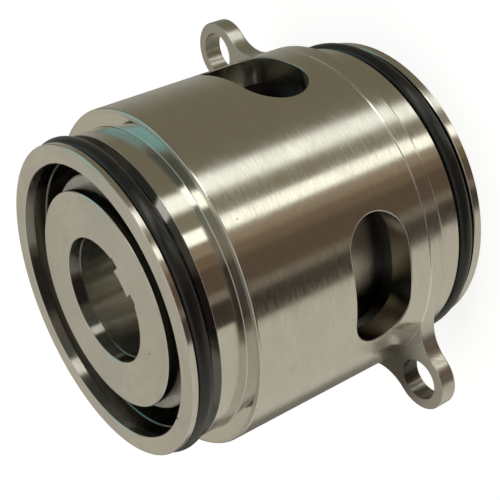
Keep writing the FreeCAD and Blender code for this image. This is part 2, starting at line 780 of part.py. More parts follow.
static_ring_middle = "static_back_gap + static_groove_back + static_oring_section + static_groove_play / 2"
rotary_ring_middle = "rotary_oring_section + rotary_corner_play / 2"
cover_ring_height = REGISTER_FACE + " - cover_groove_gap - cover_oring_section"
ring_seal("front_oring", "oring_section", FRONT_GROOVE + " + oring_section",
          FRONT_END + " - spigot_lip - oring_section")
ring_seal("rear_oring", "oring_section", REAR_GROOVE + " + oring_section",
          "end_flange_height + " + GROOVE_WIDTH + " / 2")
ring_seal("cover_oring", "cover_oring_section", COVER_GROOVE, cover_ring_height)
ring_seal("front_static_oring", "static_oring_section", STATIC_GROOVE + " + static_oring_section",
          "%s + (%s)" % (FRONT_FLOOR, static_ring_middle))
ring_seal("rear_static_oring", "static_oring_section", STATIC_GROOVE + " + static_oring_section",
          "%s - (%s)" % (REAR_FLOOR, static_ring_middle))
ring_seal("front_rotary_oring", "rotary_oring_section", ROTARY_CORNER + " - rotary_oring_section",
          "%s - (%s)" % (FRONT_NECK, rotary_ring_middle))
ring_seal("rear_rotary_oring", "rotary_oring_section", ROTARY_CORNER + " - rotary_oring_section",
          "%s + (%s)" % (REAR_NECK, rotary_ring_middle))

spring_core = "spring_radius - spring_wall"
spring_length = "spring_hole_depth + static_back_gap"
stop_length = "stop_pin_depth + stop_pin_reach"
drive_length = "drive_pin_depth + drive_pin_reach"
rods("front_springs", "spring_radius", spring_core, SEAT_CIRCLE, FRONT_FLOOR + " - spring_hole_depth",
     spring_length, "spring_count", "0")
rods("rear_springs", "spring_radius", spring_core, SEAT_CIRCLE, REAR_FLOOR + " - static_back_gap",
     spring_length, "spring_count", "0")
rods("front_stop_pins", "stop_pin_radius", None, SEAT_CIRCLE, FRONT_FLOOR + " - stop_pin_depth",
     stop_length, "pin_count", "stop_pin_angle")
rods("rear_stop_pins", "stop_pin_radius", None, SEAT_CIRCLE, REAR_FLOOR + " - stop_pin_reach",
     stop_length, "pin_count", "stop_pin_angle")
rods("front_drive_pins", "drive_pin_radius", None, DRIVE_CIRCLE, FRONT_NECK + " - drive_pin_reach",
     drive_length, "pin_count", "0")
rods("rear_drive_pins", "drive_pin_radius", None, DRIVE_CIRCLE, REAR_NECK + " - drive_pin_depth",
     drive_length, "pin_count", "0")

doc.recompute()

for item in doc.Objects:
    if "Invalid" in item.State or "Error" in item.State:
        raise RuntimeError("%s is %s" % (item.Name, item.State))
for piece in pieces:
    if piece.Shape.isNull() or not piece.Shape.isValid():
        raise RuntimeError(piece.Label + " has no valid shape")

os.makedirs("parts", exist_ok=True)
for piece in pieces:
    piece.Shape.exportStep("parts/%s.step" % piece.Label)
    box = piece.Shape.BoundBox
    print("%-22s solids %d volume %.1f z %.2f to %.2f width %.2f" % (
        piece.Label, len(piece.Shape.Solids), piece.Shape.Volume, box.ZMin, box.ZMax, box.XLength))
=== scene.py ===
# %% [markdown]
# Cartridge mechanical seal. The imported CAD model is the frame: every steel ring, rubber ring and pin is
# already in place, so this lesson gives them their finishes, winds real springs, and lights them.
# The shaft axis is Z and the ears lie on X. Lengths are metres, unless a comment says mm.

# %% Load the frame
import math

import bpy
from mathutils import Euler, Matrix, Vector


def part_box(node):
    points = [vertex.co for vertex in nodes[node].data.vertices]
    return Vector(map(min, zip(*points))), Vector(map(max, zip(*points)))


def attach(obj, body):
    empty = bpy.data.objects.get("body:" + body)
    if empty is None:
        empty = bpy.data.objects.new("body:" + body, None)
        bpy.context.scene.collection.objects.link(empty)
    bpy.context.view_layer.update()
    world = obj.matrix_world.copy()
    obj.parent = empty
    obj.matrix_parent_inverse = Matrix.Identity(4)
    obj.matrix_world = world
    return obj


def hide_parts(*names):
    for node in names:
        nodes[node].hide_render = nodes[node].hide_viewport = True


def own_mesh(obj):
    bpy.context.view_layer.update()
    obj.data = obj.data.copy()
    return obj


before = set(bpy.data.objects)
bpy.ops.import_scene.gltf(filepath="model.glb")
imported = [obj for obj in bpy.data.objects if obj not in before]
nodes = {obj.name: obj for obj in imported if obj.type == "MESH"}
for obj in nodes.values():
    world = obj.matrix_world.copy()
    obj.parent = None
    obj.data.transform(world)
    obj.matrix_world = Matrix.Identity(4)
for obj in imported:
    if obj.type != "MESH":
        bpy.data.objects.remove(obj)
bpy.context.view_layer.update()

# %% [markdown]
# The camera stands low in front and to the left of the seal and is rolled far over, because the real seal
# was photographed lying down while the model stands on its rear end. A long lens keeps the circles calm.

# %% Camera
CAMERA_PLACE = Vector((-0.0549, -0.2031, 0.1573))
CAMERA_FORWARD = Vector((0.2168, 0.8382, -0.5004))
CAMERA_ROLL = math.radians(-113.48)
LENS_MM = 84.8
NEAREST_SEEN = 0.01
FURTHEST_SEEN = 50.0

camera_data = bpy.data.cameras.new("camera")
camera_data.lens = LENS_MM
camera_data.clip_start = NEAREST_SEEN
camera_data.clip_end = FURTHEST_SEEN
camera = bpy.data.objects.new("camera", camera_data)
bpy.context.scene.collection.objects.link(camera)
camera.location = CAMERA_PLACE
camera.rotation_mode = "QUATERNION"
roll = Euler((0.0, 0.0, CAMERA_ROLL)).to_quaternion()
camera.rotation_quaternion = CAMERA_FORWARD.to_track_quat("-Z", "Y") @ roll
bpy.context.scene.camera = camera
bpy.context.scene.view_settings.view_transform = "Standard"
print("camera lens", LENS_MM)


# %% [markdown]
# Every finish is a tree of small nodes. With these helpers each step is one line: a socket takes a plain
# value or another node's output, and sums, soft ranges and mixed colours read almost as words.

# %% Helpers for nodes
def fill(tree, socket, value):
    """Give a socket a plain value, or link another node's output to it."""
    if isinstance(value, bpy.types.NodeSocket):
        tree.links.new(value, socket)
    else:
        socket.default_value = value


def add(tree, kind, **values):
    """A new node whose sockets are filled by name. An underscore stands for a space."""
    node = tree.nodes.new(kind)
    for name, value in values.items():
        fill(tree, node.inputs[name.replace("_", " ")], value)
    return node


def maths(tree, operation, *values):
    """One sum on up to three numbers or sockets."""
    node = tree.nodes.new("ShaderNodeMath")
    node.operation = operation
    for index, value in enumerate(values):
        fill(tree, node.inputs[index], value)
    return node.outputs[0]


def ranged(tree, value, low, high, to_low=0.0, to_high=1.0, smooth=True):
    """Map a value from one pair of limits to another, with soft ends or in a straight line."""
    node = add(tree, "ShaderNodeMapRange", Value=value, From_Min=low, From_Max=high,
               To_Min=to_low, To_Max=to_high)
    node.interpolation_type = "SMOOTHSTEP" if smooth else "LINEAR"
    return node.outputs["Result"]


# The Mix node keeps sockets for numbers, vectors and colours side by side. These are the colour ones.
MIX_FACTOR = 0
MIX_FIRST = 6
MIX_SECOND = 7
MIX_RESULT = 2


def blend_colour(tree, factor, first, second):
    """Mix two colours by a factor. A plain colour is three numbers."""
    node = tree.nodes.new("ShaderNodeMix")
    node.data_type = "RGBA"
    fill(tree, node.inputs[MIX_FACTOR], factor)
    for index, colour in ((MIX_FIRST, first), (MIX_SECOND, second)):
        plain = not isinstance(colour, bpy.types.NodeSocket)
        fill(tree, node.inputs[index], (*colour, 1.0) if plain else colour)
    return node.outputs[MIX_RESULT]


def object_place(tree):
    """Where a point lies on its piece. Pieces sit at the origin, so this is its place on the seal too."""
    return tree.nodes.new("ShaderNodeTexCoord").outputs["Object"]


node_helpers = (fill, add, maths, ranged, blend_colour, object_place)
print("node helpers", [helper.__name__ for helper in node_helpers])


# %% [markdown]
# What several finishes share, such as the marks of turning, is a shader group: a small tree with named
# inputs and outputs that is built once and placed in each material with its own values.

# %% Helpers for groups and materials
def shader_group(name, inputs, outputs):
    """An empty shader group. Inputs are (name, default) and outputs are names of numbers."""
    tree = bpy.data.node_groups.new(name, "ShaderNodeTree")
    for label, default in inputs:
        socket = tree.interface.new_socket(label, in_out="INPUT", socket_type="NodeSocketFloat")
        socket.default_value = default
    for label in outputs:
        tree.interface.new_socket(label, in_out="OUTPUT", socket_type="NodeSocketFloat")
    given = tree.nodes.new("NodeGroupInput")
    result = tree.nodes.new("NodeGroupOutput")
    return tree, given.outputs, result.inputs


def use_group(tree, group, **values):
    """Place a shader group in a tree, fill its inputs by name, and hand back its outputs."""
    node = tree.nodes.new("ShaderNodeGroup")
    node.node_tree = group
    for name, value in values.items():
        fill(tree, node.inputs[name.replace("_", " ")], value)
    return node.outputs


def new_material(name):
    """A new material, its node tree, and the sockets of its shader."""
    material = bpy.data.materials.new(name)
    material.use_nodes = True
    tree = material.node_tree
    return material, tree, tree.nodes["Principled BSDF"].inputs


print("helpers for groups", shader_group.__name__, use_group.__name__, new_material.__name__)


# %% [markdown]
# Many finishes here depend on where a point lies on a turned piece: how far from the shaft axis, how high
# along it, and whether the surface faces along the shaft. One group gives all three, in mm, and the
# direction straight out from the axis as well.

# %% Group: place on a turned piece
MM = 1000.0
ON_THE_AXIS = 0.0001
SIDE_UNTIL = 0.85
FACE_FROM = 0.97


def make_place_group():
    """Radius and height in mm, how far the point belongs to a flat face, and the way out from the axis."""
    tree, _, result = shader_group("place on a turned piece", (),
                                   ("Radius", "Height", "Face", "Out X", "Out Y"))
    parts = add(tree, "ShaderNodeSeparateXYZ", Vector=object_place(tree)).outputs
    squared = maths(tree, "ADD", maths(tree, "MULTIPLY", parts["X"], parts["X"]),
                    maths(tree, "MULTIPLY", parts["Y"], parts["Y"]))
    away = maths(tree, "MAXIMUM", maths(tree, "SQRT", squared), ON_THE_AXIS)
    normal = tree.nodes.new("ShaderNodeNewGeometry").outputs["Normal"]
    along = add(tree, "ShaderNodeSeparateXYZ", Vector=normal).outputs["Z"]
    tree.links.new(maths(tree, "MULTIPLY", away, MM), result["Radius"])
    tree.links.new(maths(tree, "MULTIPLY", parts["Z"], MM), result["Height"])
    tree.links.new(ranged(tree, maths(tree, "ABSOLUTE", along), SIDE_UNTIL, FACE_FROM), result["Face"])
    tree.links.new(maths(tree, "DIVIDE", parts["X"], away), result["Out X"])
    tree.links.new(maths(tree, "DIVIDE", parts["Y"], away), result["Out Y"])
    return tree


on_piece = make_place_group()
print("group", on_piece.name)


# %% [markdown]
# Every steel piece was turned on a lathe, so its marks run round the shaft axis: along Z on a barrel and
# along the radius on a flat face. One coordinate that adds height and radius crosses the marks on both.
# The direction round the axis is stretched far less, which gives marks some millimetres long. The height is
# the finest mark, streaks are single dull lines, and bands are the slow changes from one cut to the next.

# %% Group: marks of turning
# The radius counts a little more than the height, so the marks of a face and of its side don't match.
RADIUS_SHARE = 1.618
MARK_ROUGHNESS = 0.55
# Output, marks around, marks across, detail of the noise, and the part of its range that shows.
TURNING_MARKS = (
    ("Height", 1.0, 1.0, 1.5, 0.0, 1.0),
    ("Streak", 1.3, 0.8, 1.5, 0.35, 0.75),
    ("Band", 0.4, 0.07, 2.0, 0.35, 0.65),
)


def make_turning_group():
    """Three noises that run round the axis, from fine to broad."""
    tree, given, result = shader_group(
        "turning marks", (("Marks per mm", 4.5), ("Marks around", 11.0)), ("Height", "Streak", "Band"))
    spot = use_group(tree, on_piece)
    across = maths(tree, "MULTIPLY_ADD", spot["Radius"], RADIUS_SHARE, spot["Height"])
    fine = maths(tree, "MULTIPLY", across, given["Marks per mm"])
    around_x = maths(tree, "MULTIPLY", spot["Out X"], given["Marks around"])
    around_y = maths(tree, "MULTIPLY", spot["Out Y"], given["Marks around"])
    for output, times_around, times_across, detail, low, high in TURNING_MARKS:
        point = add(tree, "ShaderNodeCombineXYZ", X=maths(tree, "MULTIPLY", around_x, times_around),
                    Y=maths(tree, "MULTIPLY", around_y, times_around),
                    Z=maths(tree, "MULTIPLY", fine, times_across)).outputs[0]
        noise = add(tree, "ShaderNodeTexNoise", Vector=point, Scale=1.0, Detail=detail,
                    Roughness=MARK_ROUGHNESS)
        tree.links.new(ranged(tree, noise.outputs["Fac"], low, high, smooth=False), result[output])
    return tree


turning = make_turning_group()
print("group", turning.name)


# %% [markdown]
# Handled steel carries faint smears and dull clouds. They show as slow changes of gloss and a slight
# darkening, so the group puts out a cloud mask and a sparse mask of small stains. Rubber, ceramic and wire
# use the same two masks at other sizes.

# %% Group: handling smears
# Output, the input for its size, detail and roughness of the noise, and the part of its range that shows.
SMEARS = (
    ("Cloud", "Cloud size", 3.0, 0.55, 0.35, 0.7),
    ("Stain", "Stain size", 4.0, 0.6, 0.6, 0.78),
)


def make_smear_group():
    """A mask of slow clouds and a mask of small stains."""
    tree, given, result = shader_group("handling smears", (("Cloud size", 60.0), ("Stain size", 240.0)),
                                       ("Cloud", "Stain"))
    place = object_place(tree)
    for output, size, detail, rough, low, high in SMEARS:
        noise = add(tree, "ShaderNodeTexNoise", Vector=place, Scale=given[size], Detail=detail,
                    Roughness=rough)
        tree.links.new(ranged(tree, noise.outputs["Fac"], low, high), result[output])
    return tree


smears = make_smear_group()
print("group", smears.name)


# %% [markdown]
# A few knocks and pits show on the flat steel where the seal was handled. Each is a small dark spot in one
# cell of a Voronoi pattern, and most cells have none.

# %% Group: small knocks
KNOCK_CORE = 0.03
KNOCK_RIM = 0.07


def make_knock_group():
    """Small round spots in the few cells whose random number is above the share."""
    tree, given, result = shader_group("small knocks", (("Spacing", 190.0), ("Share", 0.9)), ("Knock",))
    cells = add(tree, "ShaderNodeTexVoronoi", Vector=object_place(tree), Scale=given["Spacing"])
    number = add(tree, "ShaderNodeSeparateXYZ", Vector=cells.outputs["Color"]).outputs["X"]
    chosen = maths(tree, "GREATER_THAN", number, given["Share"])
    near = ranged(tree, cells.outputs["Distance"], KNOCK_CORE, KNOCK_RIM, 1.0, 0.0)
    tree.links.new(maths(tree, "MULTIPLY", chosen, near), result["Knock"])
    return tree


knocks = make_knock_group()
print("group", knocks.name)


# %% [markdown]
# The photographed seal has a pit on its front disc, a nick in the disc's edge and a smudge on the end ring.
# Those are placed one by one, so this group puts out one soft spot at a given place in mm.

# %% Group: one mark
# Besides real marks, the group also places one patch of painted shade, on the neck of the gland plate's left
# ear.
MARK_RIM = 1.1


def make_mark_group():
    """One round spot that fades from its core, a share of its size, to just past its size."""
    tree, given, result = shader_group(
        "one mark", (("X", 0.0), ("Y", 0.0), ("Z", 0.0), ("Size", 0.3), ("Core", 0.6)), ("Mark",))
    parts = add(tree, "ShaderNodeSeparateXYZ", Vector=object_place(tree)).outputs
    squared = 0.0
    for axis in "XYZ":
        gap = maths(tree, "MULTIPLY_ADD", parts[axis], MM, maths(tree, "MULTIPLY", given[axis], -1.0))
        squared = maths(tree, "MULTIPLY_ADD", gap, gap, squared)
    away = maths(tree, "DIVIDE", maths(tree, "SQRT", squared), given["Size"])
    tree.links.new(ranged(tree, away, given["Core"], MARK_RIM, 1.0, 0.0), result["Mark"])
    return tree


one_mark = make_mark_group()
print("group", one_mark.name)


# %% [markdown]
# A turned piece changes its finish in rings: a land is finer than the face beside it. Rings also carry
# painted
# light: an inner wall is painted darker as shade, and a shining edge is painted lighter as a highlight. A
# ring is (radius from, radius to, height from, height to) in mm. Its mask is hard across the radius, where
# an edge of the piece ends it, and fades a little along the height.

# %% Helper for the rings of a piece
SHARP = 0.02


def ring_mask(tree, spot, ring, fade=SHARP):
    """One inside a ring of the piece and nothing outside it."""
    near, far, low, high = ring
    mask = maths(tree, "MULTIPLY", maths(tree, "GREATER_THAN", spot["Radius"], near),
                 maths(tree, "LESS_THAN", spot["Radius"], far))
    mask = maths(tree, "MULTIPLY", mask, ranged(tree, spot["Height"], low - fade, low + fade))
    return maths(tree, "MULTIPLY", mask, ranged(tree, spot["Height"], high - fade, high + fade, 1.0, 0.0))


print("rings fade over", 2 * SHARP, "mm")


# %% [markdown]
# The metal's own colour is warm and light, and a cut that is rougher returns less light, so the colour goes
# a step darker along the marks, in the bands and in stains. Rings of painted shade and painted highlight lie
# over that, and so do placed spots: real pits, a nick and a smudge, and one patch of painted shade.

# %% Steel: its colour
DARKER = 0.8
MARK_SHARES = (("Streak", 0.15), ("Height", 0.6), ("Band", 0.35))
STAIN_SHARE = 0.6
KNOCK_SHARE = 0.5
KNOCKED = (0.2, 0.18, 0.15)


def steel_colour(tree, spot, marks, dirt, colour, painted_light_rings, spots, fade):
    """A colour with its marks, its rings of painted shade and painted highlight, and its placed spots."""
    dark = tuple(DARKER * part for part in colour)
    tone = colour
    for name, share in MARK_SHARES:
        tone = blend_colour(tree, maths(tree, "MULTIPLY", marks[name], share), tone, dark)
    tone = blend_colour(tree, maths(tree, "MULTIPLY", dirt["Stain"], STAIN_SHARE), tone, dark)
    knock = use_group(tree, knocks)["Knock"]
    tone = blend_colour(tree, maths(tree, "MULTIPLY", knock, KNOCK_SHARE), tone, KNOCKED)
    # Rings of painted shade and painted highlight lie over the metal's colour.
    for ring, shade in painted_light_rings:
        tone = blend_colour(tree, ring_mask(tree, spot, ring, fade), tone, shade)
    for (x, y, z), size, core, shade in spots:
        mark = use_group(tree, one_mark, X=x, Y=y, Z=z, Size=size, Core=core)["Mark"]
        tone = blend_colour(tree, mark, tone, shade)
    return tone


print("steel is darker along", [name for name, _ in MARK_SHARES])


# %% [markdown]
# How blurred the metal mirrors is its roughness. Flat faces are duller than the barrel, and the rings that
# a rubber ring touches are finer. The marks multiply the roughness instead of adding to it, so a fine ring
# stays fine. Streaks show most on the sides.

# %% Steel: its gloss
STREAKS_ON_SIDES = 0.8
STREAKS_ON_FACES = 0.25
CLOUD_CHANGE = 0.2
BAND_CHANGE = 0.2


def steel_gloss(tree, spot, marks, dirt, side, face, zones):
    """Roughness of sides, faces and finer rings, broken up by the marks and clouds."""
    gloss = ranged(tree, spot["Face"], 0.0, 1.0, side, face, smooth=False)
    for ring, rough in zones:
        gloss = ranged(tree, ring_mask(tree, spot, ring), 0.0, 1.0, gloss, rough, smooth=False)
    strength = ranged(tree, spot["Face"], 0.0, 1.0, STREAKS_ON_SIDES, STREAKS_ON_FACES)
    change = maths(tree, "ADD", maths(tree, "MULTIPLY", marks["Streak"], strength), 1.0)
    change = maths(tree, "MULTIPLY_ADD", dirt["Cloud"], CLOUD_CHANGE, change)
    change = maths(tree, "MULTIPLY_ADD", marks["Band"], BAND_CHANGE, change)
    return maths(tree, "MULTIPLY", gloss, change)


print("streaks on sides and faces", STREAKS_ON_SIDES, STREAKS_ON_FACES)


# %% [markdown]
# A real turned edge is broken by a hair, and that small round catches the light as a bright line. The Bevel
# node gives it. Lead-in cones and the rounded corner of a groove, which the CAD model leaves out, are only
# a lean of the shading here: up the shaft, or out from it.

# %% Steel: the way its surface faces
EDGE_SAMPLES = 4


def add_normals(tree, first, second):
    """A normal with a push added to it, made one unit long again."""
    total = tree.nodes.new("ShaderNodeVectorMath")
    total.operation = "ADD"
    tree.links.new(first, total.inputs[0])
    tree.links.new(second, total.inputs[1])
    unit = tree.nodes.new("ShaderNodeVectorMath")
    unit.operation = "NORMALIZE"
    tree.links.new(total.outputs[0], unit.inputs[0])
    return unit.outputs[0]


def steel_normal(tree, spot, marks, edge, leans, depth, fade):
    """Rounded at the edges, leaning in some rings, and scored by the fine marks."""
    rounded = add(tree, "ShaderNodeBevel", Radius=edge)
    rounded.samples = EDGE_SAMPLES
    normal = rounded.outputs["Normal"]
    for ring, up, out in leans:
        mask = ring_mask(tree, spot, ring, fade)
        push = maths(tree, "MULTIPLY", mask, out)
        tilt = add(tree, "ShaderNodeCombineXYZ", X=maths(tree, "MULTIPLY", push, spot["Out X"]),
                   Y=maths(tree, "MULTIPLY", push, spot["Out Y"]), Z=maths(tree, "MULTIPLY", mask, up))
        normal = add_normals(tree, normal, tilt.outputs[0])
    bump = add(tree, "ShaderNodeBump", Strength=1.0, Distance=depth, Height=marks["Height"], Normal=normal)
    return bump.outputs["Normal"]


print("edge samples", EDGE_SAMPLES)


# %% [markdown]
# Marks that run round the axis scatter light along the shaft more than round it. The anisotropic setting
# with a tangent that runs round Z does that, and it draws each soft box out to a long crisp streak, as on
# the photographed barrel.

# %% Steel: the material
ALONG_THE_SHAFT = 0.85
QUARTER_TURN = 0.25


def steel(name, colour, side=0.13, face=0.26, depth=0.0000012, edge=0.00007, fade=SHARP,
          painted_light_rings=(), zones=(), leans=(), spots=()):
    """A turned finish. Side and face are the roughness of each. Depth and edge are metres, fade is mm.
    The painted light rings are (ring, colour), for painted shade and painted highlight, zones are
    (ring, roughness), and leans are (ring, lean up the shaft, lean out from it). Spots are (place in mm,
    size in mm, core, colour)."""
    material, tree, sockets = new_material(name)
    spot = use_group(tree, on_piece)
    marks = use_group(tree, turning)
    dirt = use_group(tree, smears)
    tree.links.new(steel_colour(tree, spot, marks, dirt, colour, painted_light_rings, spots, fade), sockets["Base Color"])
    tree.links.new(steel_gloss(tree, spot, marks, dirt, side, face, zones), sockets["Roughness"])
    tree.links.new(steel_normal(tree, spot, marks, edge, leans, depth, fade), sockets["Normal"])
    sockets["Metallic"].default_value = 1.0
    sockets["Anisotropic"].default_value = ALONG_THE_SHAFT
    sockets["Anisotropic Rotation"].default_value = QUARTER_TURN
    run = tree.nodes.new("ShaderNodeTangent")
    run.direction_type = "RADIAL"
    run.axis = "Z"
    tree.links.new(run.outputs["Tangent"], sockets["Tangent"])
    return material


STEEL = (0.74, 0.705, 0.625)
# Painted shade: the dark colour of inner walls, where little light reaches.
PAINTED_DEEP_SHADE = (0.13, 0.12, 0.105)
# Painted highlight: a lighter colour that makes an edge shine as a bright line.
PAINTED_HIGHLIGHT = (0.87, 0.85, 0.79)
PIT = (0.1, 0.09, 0.08)
FINE = 0.09
finishes = {}
print("steel colour", STEEL)

# %% [markdown]
# The casing is the slotted barrel with the front spigot. Its inside, its mouth, the step in its mouth, the
# walls of its slots and the corner of its groove are painted darker than the outside, as painted shade. The
# groove of the rubber ring and the land behind it are fine, the shoulder between that land and the barrel is
# finer still, and the edge at the joint carries a painted highlight, a lighter colour that shines. A smudge
# lies on the end ring.

# %% Finish of the casing
CASING_INSIDE = (0.0, 29.75, 0.0, 66.0)
MOUTH_WALL = (27.0, 28.3, 66.0, 71.2)
MOUTH_STEP = (27.0, 28.05, 66.2, 66.65)
MOUTH_CONE = (27.0, 28.3, 69.2, 71.2)
SLOT_WALLS = (29.6, 34.9, 22.0, 36.4)
FRONT_GROOVE = (28.0, 31.3, 64.9, 70.1)
GROOVE_CORNER = (28.6, 31.6, 64.9, 65.1)
FRONT_LAND = (31.0, 33.0, 59.6, 66.0)
SHOULDER = (31.3, 36.0, 59.0, 59.6)
JOINT_EDGE = (34.4, 35.2, 17.1, 17.4)

finishes["casing"] = steel(
    "turned_barrel", STEEL,
    spots=(((-27.45, -6.31, 71.3), 0.45, 0.6, PIT),),
    painted_light_rings=((CASING_INSIDE, PAINTED_DEEP_SHADE), (MOUTH_WALL, (0.24, 0.222, 0.185)), (MOUTH_STEP, (0.17, 0.16, 0.14)),
            (SLOT_WALLS, (0.42, 0.39, 0.33)), (JOINT_EDGE, PAINTED_HIGHLIGHT), (GROOVE_CORNER, (0.14, 0.13, 0.115))),
    zones=((FRONT_GROOVE, FINE), (SHOULDER, 0.05), (FRONT_LAND, FINE), (MOUTH_WALL, 0.12),
           (SLOT_WALLS, 0.14)),
    leans=((MOUTH_CONE, 0.33, 0.0), (GROOVE_CORNER, 0.0, 2.2)))
print("finish", finishes["casing"].name)

# %% [markdown]
# The gland plate closes the rear of the casing and carries the two ears, and its inside is painted shade.
# The ears' front faces are duller than the barrel and painted darker as shade, with a soft patch of painted
# shade on the neck of the left one. The rim at the joint with the casing carries a painted highlight, and
# the groove of the rear rubber ring is fine.

# %% Finish of the gland plate
GLAND_INSIDE = (0.0, 29.6, 2.2, 30.0)
REAR_GROOVE = (28.0, 32.4, 2.0, 7.1)
EAR_SIDES = (35.2, 50.0, 13.0, 17.1)
EAR_FACES = (34.9, 50.0, 17.1, 17.3)
EAR_FACES_AND_RIM = (34.0, 50.0, 17.1, 17.3)
JOINT_RIM = (34.3, 35.06, 16.85, 17.3)

finishes["gland_plate"] = steel(
    "turned_gland", STEEL,
    spots=(((-37.0, 4.5, 17.2), 11.0, 0.25, (0.11, 0.1, 0.083)),),
    painted_light_rings=((GLAND_INSIDE, PAINTED_DEEP_SHADE), (EAR_FACES, (0.46, 0.44, 0.39)), (JOINT_RIM, PAINTED_HIGHLIGHT)),
    zones=((REAR_GROOVE, FINE), (EAR_SIDES, 0.24), (EAR_FACES_AND_RIM, 0.22)))
print("finish", finishes["gland_plate"].name)

# %% [markdown]
# The shaft sleeve shows its front disc and its bore. The bore has a finer finish, so it mirrors sharply,
# and its wider mouth has a lead-in cone that glints. The disc has one pit, and one nick in its edge. The
# deep bore's colour is lighter, partly a more reflective polish and partly painted light, and the step in
# the bore, its mouth and the side of the disc in its gap are painted darker as shade.

# %% Finish of the shaft sleeve
BORE_MASK = (0.0, 13.4, 0.0, 67.4)
WHOLE_BORE = (0.0, 13.0, 0.0, 69.9)
BORE_STEP = (0.0, 13.2, 67.35, 67.6)
BORE_MOUTH = (12.6, 13.2, 67.6, 69.92)
BORE_CONE = (12.6, 13.2, 67.6, 69.85)
DISC_SIDE = (21.0, 22.6, 60.0, 69.9)

finishes["shaft_sleeve"] = steel(
    "turned_sleeve", STEEL, side=0.16, edge=0.00003,
    spots=(((-14.65, -6.79, 70.05), 0.24, 0.6, PIT), ((-16.9, -14.87, 70.05), 0.45, 0.6, PIT)),
    painted_light_rings=((BORE_MASK, (0.9, 0.88, 0.82)), (BORE_STEP, (0.45, 0.42, 0.37)),
            (BORE_MOUTH, (0.185, 0.171, 0.143)), (DISC_SIDE, (0.2, 0.19, 0.17))),
    zones=((WHOLE_BORE, 0.12), (DISC_SIDE, 0.1)),
    leans=((BORE_CONE, 0.33, 0.0),))
print("finish", finishes["shaft_sleeve"].name)

# %% [markdown]
# Through the slots shows the spring carrier, with a coarser and duller cut. Towards its rear it is painted
# darker as shade, where little light reaches, and that edge is soft. The small steel pieces inside take
# plainer finishes.

# %% Finish of the spring carrier and the small steel pieces
CARRIER_REAR = (0.0, 30.0, 0.0, 23.6)

finishes["spring_carrier"] = steel(
    "turned_carrier", (0.76, 0.71, 0.61), side=0.26, face=0.3, depth=0.000003, fade=1.1,
    painted_light_rings=((CARRIER_REAR, (0.15, 0.145, 0.135)),))
finishes["rear_holder"] = steel("turned_holder", STEEL)
finishes["retaining_ring"] = steel("spring_steel", (0.45, 0.44, 0.42))
for pins in ("front_stop_pins", "rear_stop_pins", "front_drive_pins", "rear_drive_pins"):
    finishes[pins] = finishes["rear_holder"]
print("steel finishes", len(finishes))


# %% [markdown]
# Rubber, ceramic and wire are smooth all over. Their colour changes slowly with the clouds, and their gloss
# with one of the two smear masks, so one helper makes all three.

# %% Helper for mottled finishes
def mottled(name, light, dark, rough, rougher, mask, cloud_size, stain_size):
    """A finish between two colours. It grows rougher by the given amount where the mask shows."""
    material, tree, sockets = new_material(name)
    dirt = use_group(tree, smears, Cloud_size=cloud_size, Stain_size=stain_size)
    tree.links.new(blend_colour(tree, dirt["Cloud"], light, dark), sockets["Base Color"])
    tree.links.new(maths(tree, "MULTIPLY_ADD", dirt[mask], rougher, rough), sockets["Roughness"])
    return material, tree, sockets


print("helper", mottled.__name__)


# %% [markdown]
# The sealing rings are black nitrile rubber: nearly black, with a soft warm sheen and a fine moulded grain.

# %% Rubber
GRAIN_SIZE = 2600.0
GRAIN_DEPTH = 0.00001


def make_rubber():
    """Mottled black with a grain of fine noise as its bump."""
    material, tree, sockets = mottled("black_nitrile", (0.009, 0.009, 0.009), (0.015, 0.015, 0.015),
                                      0.24, 0.1, "Cloud", 140.0, 500.0)
    sockets["Specular Tint"].default_value = (1.0, 0.95, 0.86, 1.0)
    grain = add(tree, "ShaderNodeTexNoise", Vector=object_place(tree), Scale=GRAIN_SIZE, Detail=2.0,
                Roughness=0.6)
    bump = add(tree, "ShaderNodeBump", Strength=0.5, Distance=GRAIN_DEPTH, Height=grain.outputs["Fac"])
    tree.links.new(bump.outputs["Normal"], sockets["Normal"])
    return material


rubber = make_rubber()
for ring in ("front_oring", "rear_oring", "cover_oring", "front_static_oring", "rear_static_oring",
             "front_rotary_oring", "rear_rotary_oring", "shaft_orings"):
    finishes[ring] = rubber
print("rubber", rubber.name)

# %% [markdown]
# The seal faces are lapped ceramic. The turning pair is light grey carbide and the sprung pair is dark
# carbon. Both are smooth and only slightly mottled.

# %% Face rings
carbide, _, _ = mottled("lapped_carbide", (0.72, 0.69, 0.62), (0.55, 0.53, 0.48), 0.2, 0.15, "Stain",
                        220.0, 900.0)
carbon, _, _ = mottled("lapped_carbon", (0.06, 0.06, 0.062), (0.04, 0.04, 0.041), 0.38, 0.15, "Stain",
                       220.0, 900.0)
for side in ("front", "rear"):
    finishes[side + "_rotary_ring"] = carbide
    finishes[side + "_static_ring"] = carbon
print("face rings", carbide.name, carbon.name)

# %% [markdown]
# The pieces of the frame keep their shapes, so a finish only takes the place of the plain material that
# each one came with. The two rings of springs are left, because they get shapes of their own.

# %% Put the finishes on the frame
for name, finish in finishes.items():
    nodes[name].data.materials.clear()
    nodes[name].data.materials.append(finish)
print("left for later", sorted(set(nodes) - set(finishes)))

# %% [markdown]
# Behind each sprung ring stand six small coil springs of bright wire. The CAD model has plain tubes there.
# A spring is a circle swept along a helix, and six of them stand on a circle, so Geometry Nodes make the
# whole ring from a few named sizes.

# %% Spring wire
wire, _, wire_sockets = mottled("spring_wire", (0.6, 0.59, 0.57), (0.5, 0.49, 0.47), 0.22, 0.1, "Stain",
                                400.0, 1500.0)
wire_sockets["Metallic"].default_value = 1.0
print("wire", wire.name)

# %% A ring of coil springs
SPRING_SIZES = (
    ("Count", 6, "NodeSocketInt"),
    ("Turns", 7.0, "NodeSocketFloat"),
    ("Circle radius", 0.0196, "NodeSocketFloat"),
    ("Coil radius", 0.00115, "NodeSocketFloat"),
    ("Wire radius", 0.00025, "NodeSocketFloat"),
    ("Length", 0.0087, "NodeSocketFloat"),
    ("Foot", 0.043, "NodeSocketFloat"),
)
STEPS_PER_TURN = 20
WIRE_SIDES = 8


